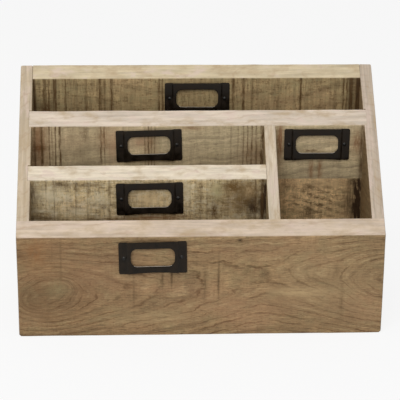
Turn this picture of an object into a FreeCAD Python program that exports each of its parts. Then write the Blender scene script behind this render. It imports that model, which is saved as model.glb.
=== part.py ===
"""Desktop mail organizer: a sloping solid-wood box of boards with stamped label holders.

Row frame: +X to the right, +Y towards the back, +Z up, in millimetres. The origin is at the middle of the
bounding box on the surface that the organizer stands on. Boards are laid out from two outer faces: u is
measured from the left outer face towards the right, and v from the front face towards the back.
"""

import FreeCAD, Part

import os
import re

import Sketcher

# Driving dimensions in millimetres, and the hand-fitted tilts of the label holders in degrees.
DIMENSIONS = {
    # The box.
    "overall_width": 406,
    "overall_depth": 163,
    "front_height": 119,
    "back_height": 268,
    "front_thickness": 15,
    "side_thickness": 14,
    "back_thickness": 14,
    "rear_divider_thickness": 15.5,
    "front_divider_thickness": 14,
    "cross_divider_thickness": 13,
    "bottom_thickness": 10,
    "bottom_gap": 0.2,
    "edge_ease": 1.2,
    "corner_round": 3,
    # The compartments, measured clear between boards. The rear slot takes what is left of the depth.
    "front_slot_depth": 37,
    "middle_slot_depth": 36.5,
    "side_bay_width": 101.5,
    # Wide boards are two planks glued edge to edge at this height.
    "plank_seam_height": 148,
    # Dividers stand in shallow housings cut across the sides.
    "housing_depth": 3,
    "housing_gap": 0.1,
    # Stamped label holder.
    "holder_width": 75,
    "holder_height": 37.3,
    "holder_gauge": 1.2,
    "holder_rise": 1.6,
    "holder_bend_run": 1.6,
    "holder_waist": 1.5,
    "holder_corner": 1.5,
    "window_side_border": 3.15,
    "window_top_border": 7.4,
    "window_bottom_border": 9,
    "window_corner": 7,
    # Where each holder sits: its drop below the board's front top edge, its sideways shift and its tilt.
    "front_label_drop": 5.7,
    "front_label_shift": 3.5,
    "front_label_tilt": 1.1,
    "slot_label_shift": 0.9,
    "front_slot_label_drop": 3.7,
    "front_slot_label_tilt": 1.0,
    "middle_slot_label_drop": 4.5,
    "middle_slot_label_tilt": 1.5,
    "side_bay_label_drop": 4.3,
    "side_bay_label_shift": 2.8,
    "rear_slot_label_drop": 5.7,
    # Round-headed pins with square tapered shanks that hold the label holders. The taper is in degrees.
    "pin_inset": 5.75,
    "pin_shank_width": 1.5,
    "pin_shank_taper": 3,
    "pin_head_diameter": 4.2,
    "pin_head_height": 0.9,
    "pin_head_clearance": 0.15,
    "pin_length": 10,
    "pin_gap": 0.05,
    # Brads of flat wire, driven from outside and set a little below the surface.
    "brad_width": 1.25,
    "brad_thickness": 1.05,
    "brad_length": 32,
    "brad_set": 0.8,
    "brad_point": 0.4,
    "brad_gap": 0.05,
    "brad_margin": 30,
}

# Sizes and places worked out from the driving dimensions.
DERIVED = {
    "slope": "((back_height - front_height) / overall_depth)",
    "left_face_x": "(-overall_width / 2)",
    "front_face_y": "((holder_rise + holder_gauge - overall_depth) / 2)",
    "front_divider_v": "(front_thickness + front_slot_depth)",
    "rear_divider_v": "(front_divider_v + front_divider_thickness + middle_slot_depth)",
    "back_panel_v": "(overall_depth - back_thickness)",
    "inner_width": "(overall_width - 2 * side_thickness)",
    "right_side_u": "(overall_width - side_thickness)",
    "cross_divider_u": "(right_side_u - side_bay_width - cross_divider_thickness)",
    "housed": "(housing_depth - housing_gap)",
    "side_length": "(overall_depth - front_thickness)",
    "front_inner_height": "(front_height + slope * front_thickness)",
    "front_divider_top": "(front_height + slope * front_divider_v - bottom_thickness)",
    "rear_divider_top": "(front_height + slope * rear_divider_v)",
    "divider_u": "(side_thickness - housed)",
    "divider_length": "(inner_width + 2 * housed)",
    "left_bay_centre_u": "((side_thickness + cross_divider_u) / 2)",
    "side_bay_centre_u": "(right_side_u - side_bay_width / 2)",
    "joggle_shift": "(holder_gauge * (sqrt(holder_rise ^ 2 + holder_bend_run ^ 2) - holder_bend_run)"
    " / holder_rise)",
    "pin_spacing": "(holder_width - 2 * pin_inset)",
    "tab_inner_x": "(pin_spacing / 2 - pin_head_diameter / 2 - pin_head_clearance - joggle_shift)",
    "raised_x": "(tab_inner_x - holder_bend_run)",
    "window_width": "(2 * (raised_x - window_side_border))",
    "window_top": "(holder_height / 2 - window_top_border)",
    "window_bottom": "(window_bottom_border - holder_height / 2)",
    "pin_depth": "(pin_length - holder_gauge)",
    "pin_hole_half": "(pin_shank_width / 2 + pin_gap)",
    "brad_end": "(brad_set + brad_length)",
}

SHEET = "Dimensions"
WORD = re.compile(r"[A-Za-z_]\w*")
ROUNDING = 1e-4
PIN_COUNT = 2

document = FreeCAD.newDocument("MailOrganizer")


def fill_sheet():
    """Puts every driving dimension in the spreadsheet, each in a cell with its own alias."""
    sheet = document.addObject("Spreadsheet::Sheet", SHEET)
    for row, (alias, number) in enumerate(DIMENSIONS.items(), start=1):
        sheet.set(f"A{row}", alias)
        sheet.set(f"B{row}", str(number))
        sheet.setAlias(f"B{row}", alias)
    document.recompute()
    return sheet


sheet = fill_sheet()


def expression(text):
    """The text with derived names written out and driving names pointed at the sheet."""

    def spell(match):
        word = match.group(0)
        if word in DERIVED:
            return expression(DERIVED[word])
        return f"{SHEET}.{word}" if word in DIMENSIONS else word

    return WORD.sub(spell, text)


def value(text):
    """The present value of an expression, as a number."""
    return float(sheet.evalExpression(expression(text)))


def new_body(label, u, v, z):
    """An empty body whose own origin is at u, v and z."""
    body = document.addObject("PartDesign::Body", label)
    body.Label = label
    body.AllowCompound = True
    body.setExpression("Placement.Base.x", expression(f"left_face_x + {u}"))
    body.setExpression("Placement.Base.y", expression(f"front_face_y + {v}"))
    body.setExpression("Placement.Base.z", expression(z))
    document.recompute()
    return body


def origin_feature(body, role):
    return next(part for part in body.Origin.OriginFeatures if part.Role == role)


def new_sketch(body, plane, x=None, y=None, along_normal=None, tilt=None):
    """A sketch on one of the body's own planes, which may be shifted along its axes and turned."""
    sketch = body.newObject("Sketcher::SketchObject", f"{body.Label}_sketch")
    sketch.AttachmentSupport = [(origin_feature(body, plane), "")]
    sketch.MapMode = "FlatFace"
    for axis, shift in {"x": x, "y": y, "z": along_normal}.items():
        if shift:
            sketch.setExpression(f"AttachmentOffset.Base.{axis}", expression(shift))
    if tilt:
        sketch.setExpression("AttachmentOffset.Rotation.Angle", expression(f"{tilt} * 1 deg"))
    return sketch


def bind(sketch, constraint, text):
    index = sketch.addConstraint(constraint)
    sketch.setExpression(f"Constraints[{index}]", expression(text))


def hold(sketch, geometry, point, axis, text):
    """Holds one coordinate of a sketch point: 0 is on the axis, and a leading minus is on its far side."""
    if text == "0":
        sketch.addConstraint(Sketcher.Constraint("PointOnObject", geometry, point, -2 if axis == "X" else -1))
        return
    far_side = text.startswith("-")
    size = text[1:] if far_side else text
    ends = (geometry, point, -1, 1) if far_side else (-1, 1, geometry, point)
    bind(sketch, Sketcher.Constraint(f"Distance{axis}", *ends, value(size)), size)


def hold_point(sketch, geometry, point, place):
    hold(sketch, geometry, point, "X", place[0])
    hold(sketch, geometry, point, "Y", place[1])


def at(place):
    return FreeCAD.Vector(value(place[0]), value(place[1]), 0)


def polygon(sketch, corners):
    """A closed outline of straight lines whose corners are held by expressions."""
    points = [at(corner) for corner in corners]
    lines = [Part.LineSegment(a, b) for a, b in zip(points, points[1:] + points[:1])]
    first = sketch.addGeometry(lines)[0]
    count = len(lines)
    for i in range(count):
        sketch.addConstraint(Sketcher.Constraint("Coincident", first + i, 2, first + (i + 1) % count, 1))
    for i, corner in enumerate(corners):
        hold_point(sketch, first + i, 1, corner)


def rectangle(sketch, low, high):
    polygon(sketch, [low, (high[0], low[1]), high, (low[0], high[1])])


def pad(body, sketch, length, against_normal=False, taper=None):
    feature = body.newObject("PartDesign::Pad", f"{body.Label}_pad")
    feature.Profile = sketch
    feature.Reversed = against_normal
    feature.setExpression("Length", expression(length))
    if taper:
        feature.setExpression("TaperAngle", expression(f"-{taper} * 1 deg"))
    document.recompute()
    return feature


def pocket(body, sketch, length=None, along_normal=False):
    """Cuts the sketch out of the body, through everything or to a length, and makes sure that it did cut."""
    before = body.Shape.Volume
    feature = body.newObject("PartDesign::Pocket", f"{body.Label}_pocket")
    feature.Profile = sketch
    feature.Reversed = along_normal
    if length:
        feature.setExpression("Length", expression(length))
    else:
        feature.Type = "ThroughAll"
    document.recompute()
    if body.Shape.Volume > before - ROUNDING:
        raise RuntimeError(f"a pocket in {body.Label} cuts nothing")
    return feature


def edges_of(shape, wanted):
    """Names of the edges of which the middle passes the test."""
    return [f"Edge{i}" for i, edge in enumerate(shape.Edges, start=1) if wanted(edge.CenterOfMass)]


def fillet(body, radius, wanted):
    base = body.Tip
    feature = body.newObject("PartDesign::Fillet", f"{body.Label}_fillet")
    feature.Base = (base, edges_of(base.Shape, wanted))
    feature.setExpression("Radius", expression(radius))
    document.recompute()


def chamfer(body, size, wanted):
    base = body.Tip
    feature = body.newObject("PartDesign::Chamfer", f"{body.Label}_chamfer")
    feature.Base = (base, edges_of(base.Shape, wanted))
    feature.setExpression("Size", expression(size))
    document.recompute()


def near(number, text):
    return abs(number - value(text)) < ROUNDING


BACK_V = "(back_panel_v + back_thickness / 2)"
REAR_V = "(rear_divider_v + rear_divider_thickness / 2)"
FRONT_V = "(front_divider_v + front_divider_thickness / 2)"
BOTTOM_Z = "(bottom_thickness / 2)"

# Where brads go through the sides into the ends of each board, in v and z.
SIDE_BRADS = {
    "back_panel_lower_plank": [(BACK_V, "brad_margin"), (BACK_V, "(plank_seam_height - brad_margin)")],
    "back_panel_upper_plank": [(BACK_V, "((plank_seam_height + back_height) / 2)")],
    "rear_divider_lower_plank": [
        (REAR_V, "(bottom_thickness + brad_margin)"),
        (REAR_V, "(plank_seam_height - brad_margin)"),
    ],
    "rear_divider_upper_plank": [(REAR_V, "((plank_seam_height + rear_divider_top) / 2)")],
    "front_divider": [
        (FRONT_V, "(bottom_thickness + brad_margin)"),
        (FRONT_V, "(bottom_thickness + front_divider_top - brad_margin)"),
    ],
    "bottom_board": [
        ("(front_thickness + brad_margin)", BOTTOM_Z),
        ("((front_thickness + back_panel_v) / 2)", BOTTOM_Z),
        ("(back_panel_v - brad_margin)", BOTTOM_Z),
    ],
}

# Where brads go through the front panel into the front end of the left side, in u and z.
FRONT_BRADS = [
    ("(side_thickness / 2)", "brad_margin"),
    ("(side_thickness / 2)", "(front_height / 2)"),
    ("(side_thickness / 2)", "(front_height - brad_margin)"),
]

# Where the label holders sit, by name: the holder's middle in u, the front face of its board in v, its drop
# below the top edge of that face, and its tilt if it was fixed askew.
LABELS = {
    "front": ("(left_bay_centre_u + front_label_shift)", "0", "front_label_drop", "front_label_tilt"),
    "front_slot": (
        "(left_bay_centre_u + slot_label_shift)",
        "front_divider_v",
        "front_slot_label_drop",
        "front_slot_label_tilt",
    ),
    "middle_slot": (
        "(left_bay_centre_u + slot_label_shift)",
        "rear_divider_v",
        "middle_slot_label_drop",
        "middle_slot_label_tilt",
    ),
    "side_bay": ("(side_bay_centre_u - side_bay_label_shift)", "rear_divider_v", "side_bay_label_drop", None),
    "rear_slot": ("(overall_width / 2)", "back_panel_v", "rear_slot_label_drop", None),
}


def label_height(name):
    """Height of a label holder's middle above the surface that the organizer stands on."""
    face, drop = LABELS[name][1:3]
    return f"(front_height + slope * {face} - {drop} - holder_height / 2)"


def pin_openings(sketch):
    """The two square openings that a label holder's pins go through."""
    inner, outer = "(pin_spacing / 2 - pin_hole_half)", "(pin_spacing / 2 + pin_hole_half)"
    rectangle(sketch, (f"-{outer}", "-pin_hole_half"), (f"-{inner}", "pin_hole_half"))
    rectangle(sketch, (inner, "-pin_hole_half"), (outer, "pin_hole_half"))


def pin_holes(body, name, u, z):
    """Two blind holes for a label holder's pins in the front face of a board whose corner is at u and z."""
    middle, _, _, tilt = LABELS[name]
    sketch = new_sketch(
        body, "XZ_Plane", x=f"{middle} - {u}", y=f"{label_height(name)} - {z}", tilt=tilt
    )
    pin_openings(sketch)
    pocket(body, sketch, "pin_depth + pin_gap")


def brad_sections(sketch, places, gap="0"):
    """The section of a brad, or of its hole with a gap all round, at each place."""
    across, up = f"(brad_thickness / 2 + {gap})", f"(brad_width / 2 + {gap})"
    for x, y in places:
        rectangle(sketch, (f"({x} - {across})", f"({y} - {up})"), (f"({x} + {across})", f"({y} + {up})"))


def seen_from(places, x, y):
    """Places measured from a corner at x and y."""
    return [(f"({a} - {x})", f"({b} - {y})") for a, b in places]


def end_holes(body, v, z, length, start, right_end=True):
    """Pilot holes for brads in the ends of a board with its corner at v and z and its left end at start."""
    places = seen_from(SIDE_BRADS[body.Label], v, z)
    depth = f"(brad_end - {start} + brad_gap)"
    left = new_sketch(body, "YZ_Plane")
    brad_sections(left, places, "brad_gap")
    pocket(body, left, depth, along_normal=True)
    if right_end:
        right = new_sketch(body, "YZ_Plane", along_normal=length)
        brad_sections(right, places, "brad_gap")
        pocket(body, right, depth)


def housing(body, low, high):
    """An upright housing above the bottom board, out through the top, cut from a plan between two corners."""
    sketch = new_sketch(body, "XY_Plane", along_normal="bottom_thickness")
    rectangle(sketch, low, high)
    pocket(body, sketch, along_normal=True)


def board(label, place, corners, length):
    """A board of one section: the corners are in v and z from its own origin, and it runs along X."""
    body = new_body(label, *place)
    sketch = new_sketch(body, "YZ_Plane")
    polygon(sketch, corners)
    pad(body, sketch, length)
    return body


def sloping_section(thickness, bottom, top):
    """Section of a board whose top edge is planed to the slope of the sides."""
    return [
        ("0", bottom),
        (thickness, bottom),
        (thickness, f"{top} + slope * {thickness}"),
        ("0", top),
    ]


def ease_top(body, length):
    """Rounds the two long edges along the top of a board."""
    fillet(body, "edge_ease", lambda p: near(p.x, f"{length} / 2") and p.z > ROUNDING)


def on_right(places):
    """The same places at the right end of the front panel."""
    return [(f"(overall_width - {u})", z) for u, z in places]


def make_front_panel():
    front_middle = value("front_height / 2")
    body = board(
        "front_panel",
        ("0", "0", "0"),
        sloping_section("front_thickness", "0", "front_height"),
        "overall_width",
    )
    fillet(body, "corner_round", lambda p: near(p.y, "front_thickness / 2") and near(p.z, "0"))
    fillet(
        body,
        "edge_ease",
        lambda p: near(p.y, "0")
        or near(p.z, "front_inner_height")
        or (near(p.y, "front_thickness / 2") and p.z > front_middle),
    )
    sketch = new_sketch(body, "XZ_Plane")
    brad_sections(sketch, FRONT_BRADS + on_right(FRONT_BRADS), "brad_gap")
    pocket(body, sketch)
    pin_holes(body, "front", "0", "0")


def make_side(label, u, inner_face, outer_face):
    """One side board behind the front panel, with housings for the dividers that it carries."""
    top_middle = "(front_inner_height + back_height) / 2"
    body = board(
        label,
        (u, "front_thickness", "0"),
        sloping_section("side_length", "0", "front_inner_height"),
        "side_thickness",
    )
    fillet(
        body,
        "edge_ease",
        lambda p: near(p.z, top_middle) or (near(p.x, outer_face) and p.y > ROUNDING),
    )
    low_u, high_u = {
        "0": ("0", "housing_depth"),
        "side_thickness": ("side_thickness - housing_depth", "side_thickness"),
    }[inner_face]
    dividers = {"rear_divider_v": "rear_divider_thickness"}
    if inner_face == "side_thickness":
        dividers["front_divider_v"] = "front_divider_thickness"
    for v, thickness in dividers.items():
        housing(
            body,
            (low_u, f"({v} - front_thickness - housing_gap)"),
            (high_u, f"({v} - front_thickness + {thickness} + housing_gap)"),
        )
    through = new_sketch(body, "YZ_Plane")
    for name, places in SIDE_BRADS.items():
        if name != "front_divider" or "front_divider_v" in dividers:
            brad_sections(through, seen_from(places, "front_thickness", "0"), "brad_gap")
    pocket(body, through, along_normal=True)
    front_end = new_sketch(body, "XZ_Plane")
    brad_sections(front_end, FRONT_BRADS, "brad_gap")
    pocket(body, front_end, "brad_end - front_thickness + brad_gap")


def make_back_panel():
    """Two planks between the sides, glued edge to edge."""
    lower = board(
        "back_panel_lower_plank",
        ("side_thickness", "back_panel_v", "0"),
        [
            ("0", "0"),
            ("back_thickness", "0"),
            ("back_thickness", "plank_seam_height"),
            ("0", "plank_seam_height"),
        ],
        "inner_width",
    )
    end_holes(lower, "back_panel_v", "0", "inner_width", "side_thickness")
    upper = board(
        "back_panel_upper_plank",
        ("side_thickness", "back_panel_v", "plank_seam_height"),
        sloping_section(
            "back_thickness", "0", "(back_height - slope * back_thickness - plank_seam_height)"
        ),
        "inner_width",
    )
    ease_top(upper, "inner_width")
    end_holes(upper, "back_panel_v", "plank_seam_height", "inner_width", "side_thickness")
    pin_holes(upper, "rear_slot", "side_thickness", "plank_seam_height")


def make_rear_divider():
    """Two planks across the whole box, housed in the sides."""
    lower = board(
        "rear_divider_lower_plank",
        ("divider_u", "rear_divider_v", "bottom_thickness"),
        [
            ("0", "0"),
            ("rear_divider_thickness", "0"),
            ("rear_divider_thickness", "(plank_seam_height - bottom_thickness)"),
            ("0", "(plank_seam_height - bottom_thickness)"),
        ],
        "divider_length",
    )
    end_holes(lower, "rear_divider_v", "bottom_thickness", "divider_length", "divider_u")
    upper = board(
        "rear_divider_upper_plank",
        ("divider_u", "rear_divider_v", "plank_seam_height"),
        sloping_section("rear_divider_thickness", "0", "(rear_divider_top - plank_seam_height)"),
        "divider_length",
    )
    ease_top(upper, "divider_length")
    end_holes(upper, "rear_divider_v", "plank_seam_height", "divider_length", "divider_u")
    for name in ("middle_slot", "side_bay"):
        pin_holes(upper, name, "divider_u", "plank_seam_height")


def make_front_divider():
    """The short divider between the left side and the cross divider."""
    length = "(cross_divider_u - divider_u)"
    body = board(
        "front_divider",
        ("divider_u", "front_divider_v", "bottom_thickness"),
        sloping_section("front_divider_thickness", "0", "front_divider_top"),
        length,
    )
    ease_top(body, length)
    end_holes(body, "front_divider_v", "bottom_thickness", length, "divider_u", right_end=False)
    pin_holes(body, "front_slot", "divider_u", "bottom_thickness")


def make_cross_divider():
    """The front-to-back divider, glued between boards, that parts the side bay from the slots."""
    length = "(rear_divider_v - front_thickness)"
    body = board(
        "cross_divider",
        ("cross_divider_u", "front_thickness", "bottom_thickness"),
        sloping_section(length, "0", "(front_inner_height - bottom_thickness)"),
        "cross_divider_thickness",
    )
    fillet(body, "edge_ease", lambda p: near(p.y, f"{length} / 2") and p.z > ROUNDING)


def make_bottom_board():
    width = "(inner_width - 2 * bottom_gap)"
    reach = "(side_length - back_thickness - 2 * bottom_gap)"
    start_u, start_v = "(side_thickness + bottom_gap)", "(front_thickness + bottom_gap)"
    body = board(
        "bottom_board",
        (start_u, start_v, "0"),
        [("0", "0"), (reach, "0"), (reach, "bottom_thickness"), ("0", "bottom_thickness")],
        width,
    )
    end_holes(body, start_v, "0", width, start_u)


def label_body(label, name):
    """A body at the middle of a label holder's back, turned by the holder's tilt."""
    middle, face, _, tilt = LABELS[name]
    body = new_body(label, middle, face, label_height(name))
    if tilt:
        body.Placement = FreeCAD.Placement(
            body.Placement.Base, FreeCAD.Rotation(FreeCAD.Vector(0, -1, 0), value(tilt))
        )
        body.setExpression("Placement.Rotation.Angle", expression(f"{tilt} * 1 deg"))
    return body


def make_label_holder(name):
    """Stamped frame: flat tabs on the board, a raised middle that a card slides behind, and a window."""
    body = label_body(f"{name}_label_holder", name)
    half = "(holder_width / 2)"
    back = [
        (f"-{half}", "0"),
        ("-tab_inner_x", "0"),
        ("-raised_x", "-holder_rise"),
        ("raised_x", "-holder_rise"),
        ("tab_inner_x", "0"),
        (half, "0"),
    ]
    front = [
        (half, "-holder_gauge"),
        ("(tab_inner_x + joggle_shift)", "-holder_gauge"),
        ("(raised_x + joggle_shift)", "-(holder_rise + holder_gauge)"),
        ("-(raised_x + joggle_shift)", "-(holder_rise + holder_gauge)"),
        ("-(tab_inner_x + joggle_shift)", "-holder_gauge"),
        (f"-{half}", "-holder_gauge"),
    ]
    section = new_sketch(body, "XY_Plane", along_normal="-holder_height / 2")
    polygon(section, back + front)
    pad(body, section, "holder_height")
    fillet(
        body,
        "holder_corner",
        lambda p: near(abs(p.x), half) and near(abs(p.z), "holder_height / 2"),
    )
    window = new_sketch(body, "XZ_Plane")
    rectangle(
        window,
        ("-(window_width / 2)", "window_bottom"),
        ("(window_width / 2)", "window_top"),
    )
    pocket(body, window, along_normal=True)
    fillet(
        body,
        "window_corner",
        lambda p: near(abs(p.x), "window_width / 2")
        and (near(p.z, "window_top") or near(p.z, "window_bottom")),
    )
    holes = new_sketch(body, "XZ_Plane")
    pin_openings(holes)
    pocket(body, holes, along_normal=True)
    cut_waist(body)


def cut_waist(body):
    """Arches the lower edge of a label holder between its tabs."""
    sketch = new_sketch(body, "XZ_Plane")
    ends = [("-tab_inner_x", "-(holder_height / 2)"), ("tab_inner_x", "-(holder_height / 2)")]
    radius = "((tab_inner_x ^ 2 + holder_waist ^ 2) / (2 * holder_waist))"
    crown = FreeCAD.Vector(0, value("holder_waist - holder_height / 2"), 0)
    chord = sketch.addGeometry(Part.LineSegment(*[at(end) for end in ends]))
    arch = sketch.addGeometry(Part.Arc(at(ends[1]), crown, at(ends[0])))
    sketch.addConstraint(Sketcher.Constraint("Coincident", chord, 2, arch, 1))
    sketch.addConstraint(Sketcher.Constraint("Coincident", chord, 1, arch, 2))
    hold_point(sketch, chord, 1, ends[0])
    hold_point(sketch, chord, 2, ends[1])
    bind(sketch, Sketcher.Constraint("Radius", arch, value(radius)), radius)
    pocket(body, sketch, along_normal=True)


def make_label_pins(name):
    """Two round-headed pins through a label holder's tabs."""
    body = label_body(f"{name}_label_pins", name)
    features = [make_pin_head(body), make_pin_shank(body)]
    pattern = body.newObject("PartDesign::LinearPattern", f"{body.Label}_pattern")
    pattern.Originals = features
    pattern.Direction = (origin_feature(body, "X_Axis"), [""])
    pattern.setExpression("Length", expression("pin_spacing"))
    pattern.Occurrences = PIN_COUNT
    body.Tip = pattern
    document.recompute()


def make_pin_head(body):
    """The left pin's head: a dome turned about the pin's own axis, with its flat underside on the tab."""
    sketch = new_sketch(body, "XY_Plane", x="-pin_spacing / 2")
    rim = ("(pin_head_diameter / 2)", "-holder_gauge")
    foot = ("0", "-holder_gauge")
    crown = ("0", "-(holder_gauge + pin_head_height)")
    radius = value("(pin_head_diameter ^ 2 / 4 + pin_head_height ^ 2) / (2 * pin_head_height)")
    middle = at(crown) + FreeCAD.Vector(0, radius, 0)
    halfway = (at(rim) + at(crown) - middle - middle).normalize() * radius + middle
    underside = sketch.addGeometry(Part.LineSegment(at(rim), at(foot)))
    axis = sketch.addGeometry(Part.LineSegment(at(foot), at(crown)))
    dome = sketch.addGeometry(Part.Arc(at(crown), halfway, at(rim)))
    sketch.addConstraint(Sketcher.Constraint("Coincident", underside, 2, axis, 1))
    sketch.addConstraint(Sketcher.Constraint("Coincident", axis, 2, dome, 1))
    sketch.addConstraint(Sketcher.Constraint("Coincident", dome, 2, underside, 1))
    sketch.addConstraint(Sketcher.Constraint("PointOnObject", dome, 3, -2))
    hold_point(sketch, underside, 1, rim)
    hold_point(sketch, axis, 1, foot)
    hold_point(sketch, axis, 2, crown)
    head = body.newObject("PartDesign::Revolution", f"{body.Label}_head")
    head.Profile = sketch
    head.ReferenceAxis = (sketch, ["V_Axis"])
    document.recompute()
    return head


def make_pin_shank(body):
    """The left pin's square shank, tapering from the head into the board."""
    sketch = new_sketch(body, "XZ_Plane", x="-pin_spacing / 2", along_normal="holder_gauge")
    half = "(pin_shank_width / 2)"
    rectangle(sketch, (f"-{half}", f"-{half}"), (half, half))
    return pad(body, sketch, "pin_length", against_normal=True, taper="pin_shank_taper")


def mirror_to_right(body):
    """Repeats a body that starts at the left outer face on the other side of the organizer."""
    plane = body.newObject("PartDesign::Plane", f"{body.Label}_middle")
    plane.AttachmentSupport = [(origin_feature(body, "YZ_Plane"), "")]
    plane.MapMode = "FlatFace"
    plane.setExpression("AttachmentOffset.Base.z", expression("overall_width / 2"))
    copies = body.newObject("PartDesign::Mirrored", f"{body.Label}_mirrored")
    copies.TransformMode = "Whole shape"
    copies.MirrorPlane = (plane, [""])
    body.Tip = copies
    document.recompute()


def make_brads(label, boards, both_sides=True):
    """Brads driven through the left side into the ends of some boards, and through the right side too."""
    body = new_body(label, "0", "0", "0")
    places = [place for board_name in boards for place in SIDE_BRADS[board_name]]
    sketch = new_sketch(body, "YZ_Plane", along_normal="brad_set")
    brad_sections(sketch, places)
    pad(body, sketch, "brad_length")
    flats = [f"{v} {sign} brad_thickness / 2" for v, _ in places for sign in "-+"]
    chamfer(
        body,
        "brad_point",
        lambda p: near(p.x, "brad_end") and any(near(p.y, flat) for flat in flats),
    )
    if both_sides:
        mirror_to_right(body)


def make_front_brads():
    """Brads driven through the front panel into the front ends of both sides."""
    body = new_body("front_panel_brads", "0", "0", "0")
    sketch = new_sketch(body, "XZ_Plane", along_normal="-brad_set")
    brad_sections(sketch, FRONT_BRADS)
    pad(body, sketch, "brad_length", against_normal=True)
    flats = [f"{u} {sign} brad_thickness / 2" for u, _ in FRONT_BRADS for sign in "-+"]
    chamfer(
        body,
        "brad_point",
        lambda p: near(p.y, "brad_end") and any(near(p.x, flat) for flat in flats),
    )
    mirror_to_right(body)


def make_all():
    make_front_panel()
    make_side("left_side", "0", inner_face="side_thickness", outer_face="0")
    make_side("right_side", "right_side_u", inner_face="0", outer_face="side_thickness")
    make_back_panel()
    make_rear_divider()
    make_front_divider()
    make_cross_divider()
    make_bottom_board()
    for name in LABELS:
        make_label_holder(name)
        make_label_pins(name)
    make_brads("back_panel_brads", ("back_panel_lower_plank", "back_panel_upper_plank"))
    make_brads("rear_divider_brads", ("rear_divider_lower_plank", "rear_divider_upper_plank"))
    make_brads("front_divider_brads", ("front_divider",), both_sides=False)
    make_brads("bottom_brads", ("bottom_board",))
    make_front_brads()


def check():
    """Stops if any object failed or any sub-part has no sound shape."""
    for item in document.Objects:
        if {"Invalid", "Error"} & set(item.State):
            raise RuntimeError(f"{item.Label} failed: {item.State}")
    for body in bodies():
        if body.Shape.isNull() or not body.Shape.isValid():
            raise RuntimeError(f"{body.Label} has no sound shape")


def bodies():
    return [item for item in document.Objects if item.isDerivedFrom("PartDesign::Body")]


def export():
    os.makedirs("parts", exist_ok=True)
    for body in bodies():
        body.Shape.exportStep(os.path.join("parts", f"{body.Label}.step"))


make_all()
document.recompute()
check()
export()
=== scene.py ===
"""A mail organizer of mango-wood boards with black pressed label holders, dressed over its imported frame."""

import math
from dataclasses import dataclass

import bmesh
import bpy
from mathutils import Matrix, Vector, noise


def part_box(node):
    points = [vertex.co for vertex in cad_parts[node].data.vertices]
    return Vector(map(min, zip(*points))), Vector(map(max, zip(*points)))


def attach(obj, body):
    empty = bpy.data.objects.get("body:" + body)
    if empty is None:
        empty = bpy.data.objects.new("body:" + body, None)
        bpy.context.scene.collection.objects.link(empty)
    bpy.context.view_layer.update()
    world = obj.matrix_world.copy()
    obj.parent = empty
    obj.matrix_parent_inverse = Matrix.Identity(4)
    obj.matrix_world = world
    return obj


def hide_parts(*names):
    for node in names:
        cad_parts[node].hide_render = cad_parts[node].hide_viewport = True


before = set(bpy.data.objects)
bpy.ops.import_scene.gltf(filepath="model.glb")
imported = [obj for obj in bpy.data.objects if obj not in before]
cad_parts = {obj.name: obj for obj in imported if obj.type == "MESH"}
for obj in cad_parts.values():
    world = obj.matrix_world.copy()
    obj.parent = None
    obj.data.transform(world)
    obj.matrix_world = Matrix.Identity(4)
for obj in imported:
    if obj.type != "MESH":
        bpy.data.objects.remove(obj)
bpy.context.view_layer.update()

MM = 0.001
BODY = "root"

# The slope that planes all the top edges runs from the front face to the back of the sides.
FRONT_HEIGHT = 119 * MM
FRONT_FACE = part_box("front_panel")[0].y
BACK_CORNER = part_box("left_side")[1]
SLOPE = (BACK_CORNER.z - FRONT_HEIGHT) / (BACK_CORNER.y - FRONT_FACE)

# Boards: material slot, and the sides of the box that are glued to another board, where edges stay sharp.
BOARDS = {
    "front_panel": ("front_wood", ("+Y",)),
    "left_side": ("side_wood", ("-Y",)),
    "right_side": ("side_wood", ("-Y",)),
    "back_panel_lower_plank": ("back_wood", ("-X", "+X", "+Z")),
    "back_panel_upper_plank": ("back_wood", ("-X", "+X", "-Z")),
    "rear_divider_lower_plank": ("divider_wood", ("-X", "+X", "-Z", "+Z")),
    "rear_divider_upper_plank": ("divider_wood", ("-X", "+X", "-Z")),
    "front_divider": ("divider_wood", ("-X", "+X", "-Z")),
    "cross_divider": ("divider_wood", ("-Y", "+Y", "-Z")),
    "bottom_board": ("bottom_wood", ("-X", "+X", "-Y", "+Y")),
}
FLAT_TOPS = ("back_panel_lower_plank", "rear_divider_lower_plank", "bottom_board")

# Meshes of the boards: the distance of their grid lines, and the turns at which lines go round an edge.
GRID_STEP = 6 * MM
EDGE_ANGLES = (45, 30, 15, 0)
GRID_DIGITS = 7
SMOOTH_ANGLE = math.radians(32)

# Wear of the boards: how round their edges are, and how far and in what lengths edges and faces vary.
EDGE_RADIUS = 1.3 * MM
WEAR_SHARE = 0.45
WEAR_LENGTH = 22 * MM
SWAY = 0.22 * MM
SWAY_LENGTH = 70 * MM
SWAY_SEED = 11

# The front panel's two lower corners have a larger radius, which leaves its other sides alone.
CORNER_RADIUS = 3 * MM
CORNER_SHARP_SIDES = ("-Y", "+Y", "+Z")

# Cuts in the sides: the room round a divider and over a brad, and how far a cut goes beyond a face.
HOUSING_GAP = 0.1 * MM
OVERCUT = 1 * MM
WELD_DISTANCE = 0.01 * MM
SIDE_BRADS = ("back_panel_brads", "rear_divider_brads", "front_divider_brads", "bottom_brads")
FRONT_BRADS = "front_panel_brads"

# Pressed label holders, in millimetres, with softer bends and corners than their solids. One that hangs
# straight gives the size of all. The tilts are in degrees, right end up.
STRAIGHT_HOLDER = "rear_slot_label_holder"
HOLDER_GAUGE = 1.2
HOLDER_RISE = 1.6
BEND_RUN = 2.4
TAB_INNER = 29
HOLDER_WAIST = 1.5
HOLDER_CORNER = 2
WINDOW_HALF_WIDTH = 24.25
WINDOW_TOP = 11.25
WINDOW_BOTTOM = -9.65
WINDOW_CORNER = 7
# Half the width of the strip along the window's sill that gets light uncoated steel as a painted highlight.
SILL_HIGHLIGHT_HALF_WIDTH = 21
LABEL_TILTS = {"front": 1.1, "front_slot": 1.0, "middle_slot": 1.5, "side_bay": 0, "rear_slot": 0}

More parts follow.
